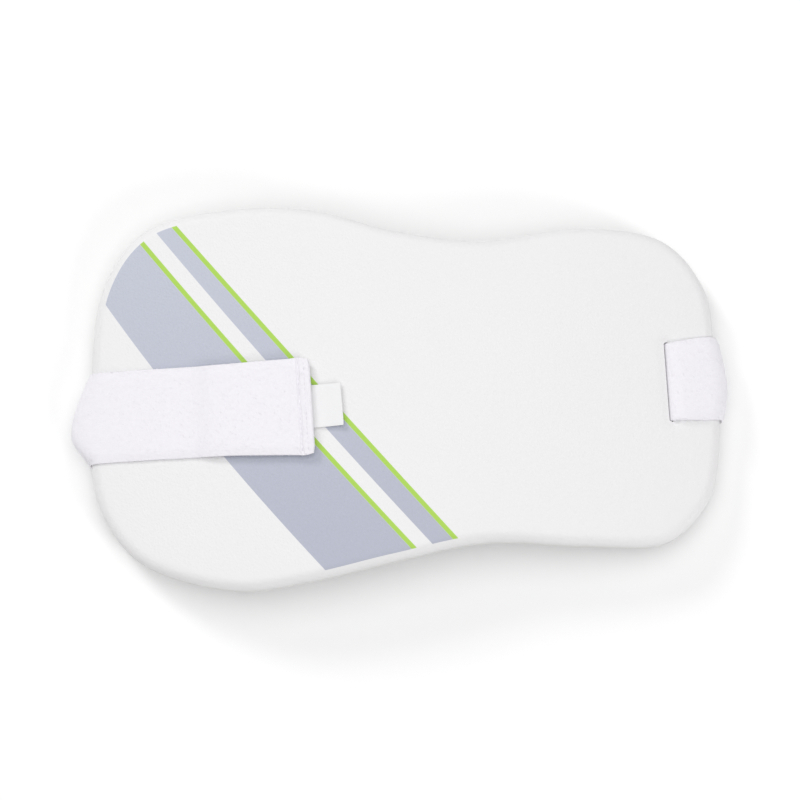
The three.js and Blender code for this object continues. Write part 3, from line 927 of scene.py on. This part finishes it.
class StrapForm:
    """The strap's way: free end, front, left fold, back run, right fold, slot and tail."""

    # Gap between the two layers of the hem
    LAYER_GAP = 0.1 * MM
    # Length in which the elastic thins down to the hem's layers
    HEM_RAMP = 4 * MM
    # Straight step from one leg to the next
    JOIN = 3 * MM
    # How far in from the rim a fold still follows its curve
    RIM_MARGIN = 0.5 * MM
    # Places taken on each part of the way, from which the band draws its cross-sections
    HEM_PLACES = 12
    TURN_PLACES = 13
    FRONT_PLACES = 180
    FOLD_PLACES = 12
    BACK_PLACES = 40
    LOOP_PLACES = 48
    SLOT_PLACES = 10
    TAIL_PLACES = 12
    LANES = 30
    # Lengths per radian of the waves that sway the upper and the lower edge
    UPPER_SWAY = (4.7 * MM, 13.1 * MM)
    LOWER_SWAY = (5.3 * MM, 11.7 * MM)
    # Lengths per radian of the soft waves along and across the outer side, their bend and their drift
    WAVE_ALONG = 6.1 * MM
    WAVE_ACROSS = 6.7 * MM
    WAVE_BEND = 11 * MM
    WAVE_DRIFT = 23 * MM
    # How far upwards the strap has to face to count as level
    LEVEL_FROM = 0.9
    # Half width of the groove along a row of stitches
    GROOVE = 0.8 * MM

    def __init__(self, settings):
        self.strap = settings.strap
        self.patch = settings.patch
        self.form = PadForm(settings.pad)
        self.on_face = self.strap.rest_gap + self.strap.thickness / 2
        self.end = FREE_END.x * MM
        self.hem_start = self.end - self.strap.hem_length
        self.hem_turn = (self.strap.hem_layer + self.LAYER_GAP) / 2

    def along(self, x, first, last, **more):
        """A leg between two stops: its place across the pad and its heading, for each x."""
        part = np.clip((x / MM - first.x) / (last.x - first.x), 0, 1)
        width = more.pop("width", self.strap.width)
        y = lerp(first.y, last.y, part) * MM
        heading = np.radians(lerp(first.heading, last.heading, part))
        sizes = {"upper": width / 2, "lower": width / 2, "thick": self.strap.thickness}
        return {"x": x, "y": y, "heading": heading, "taper": self.strap.edge_taper, **sizes, **more}

    def front_lift(self, x):
        """Height of the strap's middle over the face, and its thickness, near the patch and the hem."""
        climbed = self.hem_start - self.patch.length - self.patch.lead
        climb = smoothstep(climbed - self.patch.slope, climbed, x)
        raised = (self.patch.height + self.strap.rest_gap) * climb
        hem = smoothstep(self.hem_start - self.HEM_RAMP, self.hem_start, x)
        thick = lerp(self.strap.thickness, self.strap.hem_layer, hem)
        return lerp(self.on_face + raised, self.strap.hem_top - self.strap.hem_layer / 2, hem), thick

    def half_width(self, x):
        """Half of the strap's width along its front, spread over the patch and drawn in at the end."""
        part = np.clip((x - self.hem_start) / self.patch.length + 1, 0, 1)
        near = np.clip(1 - (self.end - x) / self.strap.hem_length, 0, 1) ** 2
        return lerp(self.strap.width, self.strap.spread, part) / 2 - self.strap.corner * near

    def front_leg(self, x, drop=0.0):
        lift, thick = self.front_lift(x)
        sizes = {"thick": thick, "width": 2 * self.half_width(x)}
        return self.along(x, LEFT_TURN, FREE_END, z=self.form.face(x) + lift - drop, bowed=1.0, **sizes)

    def hem_legs(self):
        """The end folded under, and its turn."""
        fold = self.end - self.hem_turn
        flat = np.linspace(self.hem_start, fold, self.HEM_PLACES)
        under = self.front_leg(flat, drop=2 * self.hem_turn)
        angle = np.linspace(-math.pi / 2, math.pi / 2, self.TURN_PLACES)
        turn = self.front_leg(np.full(self.TURN_PLACES, fold))
        turn["x"] = fold + self.hem_turn * np.cos(angle)
        turn["z"] = turn["z"] - self.hem_turn + self.hem_turn * np.sin(angle)
        turn["upper"] = turn["lower"] = self.half_width(turn["x"])
        return [under, turn]

    def fold_legs(self, fold):
        """A fold round one end of the pad: over the rim from the face, and down on to the floor."""
        pad, turn = self.form.pad, self.strap.foot_turn
        rows = self.form.rim_rows(self.on_face)[::-1]
        rows = rows[rows[:, 0] < pad.rim_run + self.RIM_MARGIN]
        angle = np.linspace(0, math.pi / 2, self.FOLD_PLACES)
        end = fold.stop.x * MM
        over_x = end - fold.outward * rows[:, 0]
        down_x = end - fold.outward * (turn * (1 - np.cos(angle)) - self.on_face)
        over_z = pad.lift + rows[:, 1] + self.form.bow(over_x)
        down_z = self.strap.thickness / 2 + turn * (1 - np.sin(angle))
        slack = fold.outward * fold.slack
        rolled = np.sin(np.clip(1 - rows[:, 0] / pad.rim_run, 0, 1) * math.pi / 2)
        shape = {"width": fold.width, "crest": fold.crest, "fall": self.strap.slack_fall}
        over = {"z": over_z, "slack": slack * rolled, "bowed": 1.0, **shape}
        down = {"z": down_z, "slack": slack * np.cos(angle), **shape}
        legs = ((over_x, over), (down_x, down))
        return [self.along(x, fold.stop, fold.start, **leg) for x, leg in legs]

    def slot_legs(self):
        """Down through the slot, round under the pad's back and along the tail."""
        strap = self.strap
        into, turn = strap.sunk_turn, strap.slot_turn
        x0 = SLOT.x * MM - strap.slot_shift
        sunk = self.form.press(x0 + into, SLOT.y * MM)
        top = self.form.face(x0 + into) + self.on_face - sunk - into
        tail_z = strap.thickness + self.on_face
        sink = np.linspace(math.pi / 2, math.pi, self.SLOT_PLACES)
        leave = np.linspace(0, -math.pi / 2, self.SLOT_PLACES)
        x = np.concatenate([x0 + into + into * np.cos(sink), x0 - turn + turn * np.cos(leave)])
        z = np.concatenate([top + into * np.sin(sink), tail_z + turn + turn * np.sin(leave)])
        tail = np.linspace(x0 - turn, TAIL_END.x * MM, self.TAIL_PLACES)
        below = SLOT._replace(x=SLOT.x + 1)
        down = self.along(x, SLOT, below, z=z, width=strap.gathered, taper=0.0)
        return down, self.along(tail, SLOT, TAIL_END, z=tail_z, width=strap.gathered)

    def legs(self):
        strap = self.strap
        left = Fold(LEFT_TURN, FREE_END, -1, strap.width, strap.left_slack, crest=-0.3)
        right = Fold(RIGHT_TURN, SLOT, 1, strap.looped, strap.right_slack, crest=-0.15)
        over_left, down_left = self.fold_legs(left)
        up_right, over_right = (reversed_leg(leg) for leg in reversed(self.fold_legs(right)))
        fold = self.end - self.hem_turn
        front_x = np.linspace(fold, over_left["x"][0] + self.JOIN, self.FRONT_PLACES)
        front = self.front_leg(front_x)
        start, stop = down_left["x"][-1] + self.JOIN, up_right["x"][0] - self.JOIN
        back_x = np.linspace(start, stop, self.BACK_PLACES)
        width = np.linspace(strap.width, strap.looped, len(back_x))
        back = self.along(back_x, LEFT_TURN, RIGHT_TURN, z=strap.thickness / 2, width=width)
        down, tail = self.slot_legs()
        loop_x = np.linspace(over_right["x"][-1] - self.JOIN, down["x"][0], self.LOOP_PLACES)
        width = np.linspace(strap.looped, strap.gathered, len(loop_x))
        taper = np.linspace(strap.edge_taper, 0.0, len(loop_x))
        loop = self.along(loop_x, RIGHT_TURN, SLOT, width=width, bowed=1.0, taper=taper)
        loop["z"] = self.form.face(loop_x) + self.on_face - self.form.press(loop_x, loop["y"])
        left_legs = [*self.hem_legs(), front, over_left, down_left]
        return [*left_legs, back, up_right, over_right, loop, down, tail]

    def band(self):
        # Fine steps over the hem's two layers and as far again as one of them
        fine = {"fine_run": 3 * self.strap.hem_length, "fine_step": self.strap.fine_step}
        made = Band(self.form, self.legs(), self.strap.step, self.LANES, **fine)
        made.upper = made.upper + self.strap.sway * ripple(made.run, *self.UPPER_SWAY)
        made.lower = made.lower + self.strap.sway * ripple(made.run, *self.LOWER_SWAY)
        return made

    def run_at(self, band, from_end):
        """How far along the band its upper layer lies at a distance from the free end."""
        top = (band.inner[:, 2] < -self.LEVEL_FROM) & (band.x < self.end)
        return float(np.interp(from_end - self.end, -band.x[top], band.run[top]))

    def hem_rows(self, band, stitch):
        """The rows of stitches across the hem: how far along the band, and how deep their grooves."""
        first, second = self.run_at(band, stitch.first_row), self.run_at(band, stitch.second_row)
        return [(first, self.strap.pucker), (second, self.strap.pucker / 4)]

    def relief(self, band, rows):
        """The lie of the outer side: soft waves, and a groove along each row of stitches."""

        def height(run, breadth):
            shown = smoothstep(band.SHOWN_FROM, self.LEVEL_FROM, -band.inner[:, 2])
            along = np.sin(run / self.WAVE_ALONG + 2.0 * np.sin(breadth / self.WAVE_BEND))
            across = np.sin(breadth / self.WAVE_ACROSS + run / self.WAVE_DRIFT)
            grooves = sum(depth * np.exp(-(((run - row) / self.GROOVE) ** 2)) for row, depth in rows)
            return shown * (self.strap.wave * along * across - grooves)

        return height


def elastic_material(strap):
    """Brushed loop elastic: soft nap, faint ribs along its length and a sheen."""
    finish = Finish("brushed_elastic")
    uv, _, across = finish.cloth()
    nap = finish.noise(uv, scale=1500, detail=5.0, roughness=0.62)
    tufts = finish.noise(uv, scale=420, roughness=0.55)
    ribs = across.wave(1.7 * MM)
    shade = 0.6 * nap + 0.4 * tufts
    colour = finish.tone(shade.smooth(0.25, 0.75), strap.white, first=0.93, last=1.0)
    fine = finish.bump(nap, distance=0.2 * MM, strength=0.3)
    coarse = finish.bump(tufts + 0.12 * ribs, distance=0.2 * MM, strength=0.2, under=fine)
    rough = nap.about(0.9, spread=0.08)
    gleam = {"Specular_IOR_Level": 0.15, "Sheen_Weight": 0.25, "Sheen_Roughness": 0.5}
    return finish.surface(Base_Color=colour, Roughness=rough, Normal=coarse, **gleam)


def nap_growth():
    """Scatters small loops of yarn over the shown side of a band."""
    inputs = {"Density": "Float", "Seed": "Int", "Height": "Float", "Yarn": "Float"}
    growth = Growth("nap", inputs)
    given = growth.given
    shown = growth.named("shown", "FLOAT")
    spread = {"Mesh": given["Geometry"], "Density": given["Density"] * shown, "Seed": given["Seed"]}
    points = growth.node("GeometryNodeDistributePointsOnFaces", inputs=spread)
    angle = growth.random(0.0, math.tau, given["Seed"])
    turn = growth.node("FunctionNodeAxisAngleToRotation", inputs={"Axis": (0, 0, 1), "Angle": angle})
    turned = {"Rotation": points["Rotation"], "Rotate By": turn}
    spun = growth.node("FunctionNodeRotateRotation", {"rotation_space": "LOCAL"}, turned)
    size = growth.random(0.5, 1.15, given["Seed"] + 1)
    height = given["Height"]
    start = growth.vector(x=-0.6 * height, z=-0.3 * height)
    end = growth.vector(x=0.6 * height, z=-0.3 * height)
    middle = growth.vector(y=0.5 * height, z=2.0 * height)
    loop = growth.bent_thread(start, middle, end, given["Yarn"], resolution=5, sides=4)
    return growth.finish(points, loop, spun, Scale=size)


class GUARD_OT_strap(Operator):
    """Makes the elastic strap with its hem, folds and tail, and the loops of its nap"""

    bl_idname = "chest_guard.make_strap"
    bl_label = "Make Strap"

    def execute(self, context):
        settings = context.scene.chest_guard
        strap, stitch = settings.strap, settings.stitch
        way = StrapForm(settings)
        band = way.band()
        elastic = band.build("strap_elastic", way.relief(band, way.hem_rows(band, stitch)))
        dress(elastic, elastic_material(strap), "elastic", "elastic_strap")

        nap = bpy.data.objects.new("strap_nap", elastic.data.copy())
        context.scene.collection.objects.link(nap)
        yarn = yarn_material("nap_yarn", strap.white)
        sizes = {"Height": strap.nap_height, "Yarn": strap.yarn}
        nap_growth().grow(nap, yarn, {"Density": strap.nap_density, "Seed": strap.nap_seed, **sizes})
        dress(nap, yarn, "elastic")
        return {"FINISHED"}


# Hook patch


def hook_growth():
    """Sets a small bent hook on every point of a mesh."""
    growth = Growth("hooks", {"Height": "Float", "Wire": "Float", "Seed": "Int"})
    given = growth.given
    height = given["Height"]
    middle = growth.vector(z=1.7 * height)
    end = growth.vector(x=0.55 * height, z=0.55 * height)
    hook = growth.bent_thread((0, 0, 0), middle, end, given["Wire"], resolution=5, sides=5)
    astray = growth.random(-0.5, 0.5, given["Seed"])
    turn = growth.facing(growth.named("up", "FLOAT_VECTOR"), growth.vector(x=1.0, y=astray))
    return growth.finish(given["Geometry"], hook, turn)


def tape_material(patch):
    """Woven tape of the hook patch."""
    finish = Finish("hook_tape")
    _, along, across = finish.cloth()
    weave = 0.5 + 0.5 * (along.wave(0.8 * MM) * across.wave(0.6 * MM))
    colour = finish.tone(weave, patch.white, first=0.9, last=1.0)
    threads = finish.bump(weave, distance=0.2 * MM, strength=0.6)
    return finish.surface(Base_Color=colour, Roughness=0.7, Normal=threads)


class GUARD_OT_patch(Operator):
    """Makes the hook patch under the strap's free end"""

    bl_idname = "chest_guard.make_patch"
    bl_label = "Make Hook Patch"
    PLACES = 30
    LANES = 24
    # Share of the tape's width that carries hooks, and how far these end above the patch's lower side
    HOOKED = 0.94
    HOOK_GAP = 0.1 * MM

    def execute(self, context):
        settings = context.scene.chest_guard
        patch, strap = settings.patch, settings.strap
        way = StrapForm(settings)
        start, stop = way.hem_start - patch.length, way.hem_start - strap.rest_gap
        x = np.linspace(start, stop, self.PLACES)
        z = way.form.face(x) + strap.rest_gap + patch.height - patch.tape / 2
        sizes = {"width": patch.width, "thick": patch.tape}
        leg = way.along(x, LEFT_TURN, FREE_END, z=z, bowed=1.0, **sizes)
        band = Band(way.form, [leg], patch.pitch, self.LANES)
        tape = band.build("hook_tape")
        dress(tape, tape_material(patch), "hook", "hook_patch")

        lanes = np.linspace(-self.HOOKED, self.HOOKED, int(patch.width / patch.pitch) - 1)
        spots = [band.spot(run, lane) for run in band.run[1:-1] for lane in lanes]
        hooks = mesh_object("hook_field", [point for point, _ in spots])
        add_values(hooks, "up", [up for _, up in spots])
        nylon = yarn_material("hook_nylon", patch.white)
        height = patch.height - patch.tape - self.HOOK_GAP
        hook_growth().grow(hooks, nylon, {"Height": height, "Wire": patch.wire, "Seed": SEED})
        dress(hooks, nylon, "hook")
        return {"FINISHED"}


# Label


def satin_material(label):
    """Woven satin tape with a soft gleam along its length."""
    finish = Finish("label_satin")
    uv, _, across = finish.cloth()
    threads = across.wave(0.4 * MM)
    slubs = finish.noise(uv, scale=900)
    colour = finish.tone(slubs, label.white, first=0.955, last=1.0)
    weave = finish.bump(0.5 * threads + slubs, distance=0.08 * MM, strength=0.4)
    rough = slubs.about(0.42, spread=0.12)
    return finish.surface(Base_Color=colour, Roughness=rough, Normal=weave, Sheen_Weight=0.15)


class GUARD_OT_label(Operator):
    """Makes the blank label, a loop of satin tape caught in the hem"""

    bl_idname = "chest_guard.make_label"
    bl_label = "Make Label"
    LEG_PLACES = 24
    TURN_PLACES = 9
    LANES = 12

    def execute(self, context):
        settings = context.scene.chest_guard
        label = settings.label
        way = StrapForm(settings)
        turn = label.turn
        out = way.end + label.shown - turn - label.tape / 2
        inner = way.end - label.tucked

        def leg(x, height):
            loose = np.clip((x - way.end) / label.shown, 0, 1)
            z = way.form.face(x) + way.strap.rest_gap + height + label.curl * loose**2
            sizes = {"width": label.width, "thick": label.tape, "tip": -label.tip * loose**2}
            y = FREE_END.y * MM + (x - way.end) * math.tan(label.heading)
            place = {"y": y, "z": z, "heading": label.heading, "bowed": 1.0}
            return way.along(x, FREE_END, LEFT_TURN, **place, **sizes)

        low = label.tape / 2
        angle = np.linspace(-math.pi / 2, math.pi / 2, self.TURN_PLACES)
        under = leg(np.linspace(inner, out, self.LEG_PLACES), low)
        fold = leg(out + turn * np.cos(angle), low + turn + turn * np.sin(angle))
        over = leg(np.linspace(out, inner, self.LEG_PLACES), low + 2 * turn)
        satin = Band(way.form, [under, fold, over], label.step, self.LANES).build("label_satin")
        dress(satin, satin_material(label), "satin", "care_label")
        return {"FINISHED"}


# Stitches


def stitch_growth():
    """Sews a row of arched stitches along each line of a mesh."""
    growth = Growth("stitches", {"Pitch": "Float", "Bite": "Float", "Thread": "Float"})
    given = growth.given
    line = growth.node("GeometryNodeMeshToCurve", inputs={"Mesh": given["Geometry"]})
    spacing = {"Curve": line, "Length": given["Pitch"]}
    spaced = growth.node("GeometryNodeResampleCurve", {"mode": "LENGTH"}, spacing)
    ahead = growth.node("GeometryNodeInputTangent")
    turn = growth.facing(growth.named("up", "FLOAT_VECTOR"), ahead)
    half, thread = 0.5 * given["Bite"], given["Thread"]
    start = growth.vector(x=-1.0 * half, z=-1.2 * thread)
    end = growth.vector(x=half, z=-1.2 * thread)
    middle = growth.vector(z=1.6 * thread)
    arch = growth.bent_thread(start, middle, end, thread, resolution=7, sides=6)
    return growth.finish(spaced, arch, turn)


def yarn_material(name, colour):
    """Twisted thread or yarn."""
    finish = Finish(name)
    twist = finish.noise(finish.place(), scale=5200, detail=2.0)
    shade = finish.tone(twist, colour, first=0.9, last=1.0)
    rough = twist.about(0.6, spread=0.1)
    strands = finish.bump(twist, distance=0.05 * MM, strength=0.5)
    return finish.surface(Base_Color=shade, Roughness=rough, Normal=strands, Sheen_Weight=0.2)


class GUARD_OT_stitches(Operator):
    """Sews the hem of the strap's free end and the tail inside the loop"""

    bl_idname = "chest_guard.sew"
    bl_label = "Sew Strap"
    ROW_POINTS = 40

    def execute(self, context):
        settings = context.scene.chest_guard
        stitch, strap = settings.stitch, settings.strap
        way = StrapForm(settings)
        band = way.band()
        tail = [(band.run[-1] - times * stitch.first_row, 0.0) for times in (1, 3)]
        reach = 1 - 2 * stitch.side_margin / strap.gathered
        points, ups, lines = [], [], []
        for run, sunk in [*way.hem_rows(band, stitch), *tail]:
            for lane in np.linspace(-reach, reach, self.ROW_POINTS):
                point, up = band.spot(run, lane)
                points.append(np.array(point) - sunk * np.array(up))
                ups.append(up)
            lines += [(i, i + 1) for i in range(len(points) - self.ROW_POINTS, len(points) - 1)]
        rows = mesh_object("strap_stitches", points, edges=lines)
        add_values(rows, "up", ups)
        thread = yarn_material("sewing_thread", stitch.white)
        sizes = {"Pitch": stitch.pitch, "Bite": stitch.bite, "Thread": stitch.thread}
        stitch_growth().grow(rows, thread, sizes)
        dress(rows, thread, "elastic")
        return {"FINISHED"}


# Stage


class GUARD_OT_stage(Operator):
    """Sets the camera, the floor and the soft studio light"""

    bl_idname = "chest_guard.set_stage"
    bl_label = "Set Stage"

    def execute(self, context):
        stage = context.scene.chest_guard.stage
        self.camera(context.scene, stage)
        half = stage.floor_size / 2
        corners = [(-half, -half, 0), (half, -half, 0), (half, half, 0), (-half, half, 0)]
        floor = mesh_object("floor", corners, [(0, 1, 2, 3)])
        floor.data.materials.append(self.floor_finish(stage))
        self.light(context.scene, stage)
        context.scene.view_settings.view_transform = "Standard"
        return {"FINISHED"}

    def camera(self, scene, stage):
        lens = bpy.data.cameras.new("camera")
        lens.sensor_width = 36.0
        lens.lens = lens.sensor_width * stage.distance / stage.view_width
        camera = bpy.data.objects.new("camera", lens)
        up, out = math.sin(stage.elevation), math.cos(stage.elevation)
        back, height = stage.distance * out, stage.distance * up
        camera.location = (stage.aim_side, stage.aim_up - back, stage.aim_height + height)
        camera.rotation_euler = (math.pi / 2 - stage.elevation, 0.0, 0.0)
        scene.collection.objects.link(camera)
        scene.camera = camera

    def floor_finish(self, stage):
        finish = Finish("pale_floor")
        cloud = finish.noise(finish.place(), scale=6, detail=2.0)
        colour = finish.tone(cloud, stage.floor_white, first=1.0, last=0.99)
        return finish.surface(Base_Color=colour, Roughness=0.9, Specular_IOR_Level=0.1)

    def light(self, scene, stage):
        sky = bpy.data.worlds.new("sky")
        sky.use_nodes = True
        even = sky.node_tree.nodes["Background"].inputs
        even["Strength"].default_value = stage.sky_strength
        even["Color"].default_value = (1, 1, 1, 1)
        scene.world = sky
        self.lamp(scene, "softbox", stage.softbox_power, stage.softbox_size, SOFTBOX_PLACE)
        self.lamp(scene, "key", stage.key_power, stage.lamp_size, KEY_PLACE)
        self.lamp(scene, "fill", stage.fill_power, stage.lamp_size, FILL_PLACE)

    def lamp(self, scene, name, power, size, place):
        light = bpy.data.lights.new(name, "AREA")
        light.shape = "DISK"
        light.size = size
        light.energy = power
        lamp = bpy.data.objects.new(name, light)
        lamp.location = place
        lamp.rotation_euler = (-lamp.location).to_track_quat("-Z", "Y").to_euler()
        scene.collection.objects.link(lamp)


# Panel and registration


class GUARD_PT_panel(Panel):
    """Lists the steps that make the guard"""

    bl_idname = "VIEW3D_PT_chest_guard"
    bl_label = "Chest Guard"
    bl_space_type = "VIEW_3D"
    bl_region_type = "UI"
    bl_category = "Chest Guard"

    def draw(self, context):
        for operator in STEPS:
            self.layout.operator(operator.bl_idname)


STEPS = (
    GUARD_OT_stage, GUARD_OT_pad, GUARD_OT_strap,
    GUARD_OT_patch, GUARD_OT_label, GUARD_OT_stitches,
)
GROUPS = (
    PadSettings, PrintSettings, StrapSettings, PatchSettings,
    LabelSettings, StitchSettings, StageSettings, GuardSettings,
)


def register():
    for group in (*GROUPS, *STEPS, GUARD_PT_panel):
        bpy.utils.register_class(group)
    bpy.types.Scene.chest_guard = PointerProperty(type=GuardSettings)


def unregister():
    del bpy.types.Scene.chest_guard
    for group in reversed((*GROUPS, *STEPS, GUARD_PT_panel)):
        bpy.utils.unregister_class(group)


def main():
    register()
    bpy.ops.chest_guard.set_stage()
    bpy.ops.chest_guard.make_pad()
    bpy.ops.chest_guard.make_strap()
    bpy.ops.chest_guard.make_patch()
    bpy.ops.chest_guard.make_label()
    bpy.ops.chest_guard.sew()


if __name__ == "__main__":
    main()
